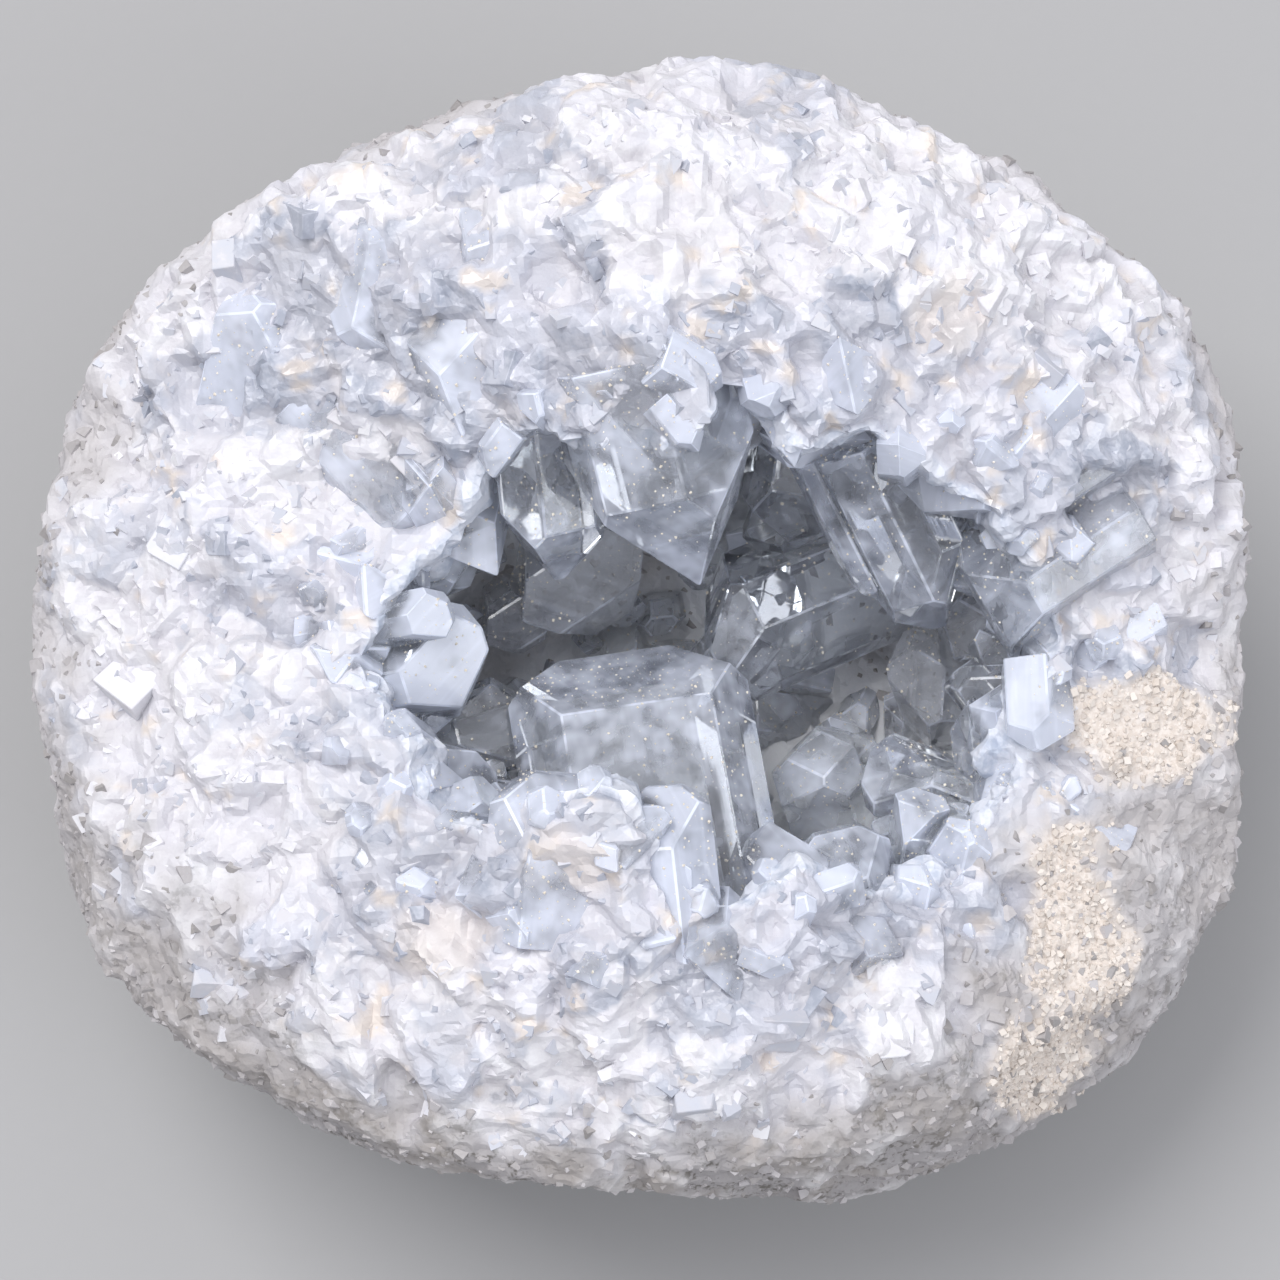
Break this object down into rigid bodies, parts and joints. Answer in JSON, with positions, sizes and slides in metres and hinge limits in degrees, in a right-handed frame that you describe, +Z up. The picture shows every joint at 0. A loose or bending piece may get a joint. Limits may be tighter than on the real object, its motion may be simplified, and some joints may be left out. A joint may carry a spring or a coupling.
{
  "type": "celestite geode",
  "caption": "Rounded lump of pale, sugary celestite rock, broken open to a hollow lined with blue-grey crystals, resting on a small flat spot of its rind.",
  "frame": {"origin": "middle of the footprint of the bounding box, on the plane of the flat resting spot", "axes": "+X along the geode's longest side, +Y away from the way the broken face leans, +Z up from the resting spot"},
  "size_m": [0.1214, 0.1102, 0.0776],
  "materials": {
    "celestite_rock": "sugary, grainy, white with grey-blue windows and tan stains",
    "celestite_crystal": "clear to milky pale blue-grey crystal, dusted with fine tan grains"
  },
  "bodies": {
    "root": {"rock": "celestite_rock", "crystal_crust": "celestite_crystal"}
  },
  "joints": []
}
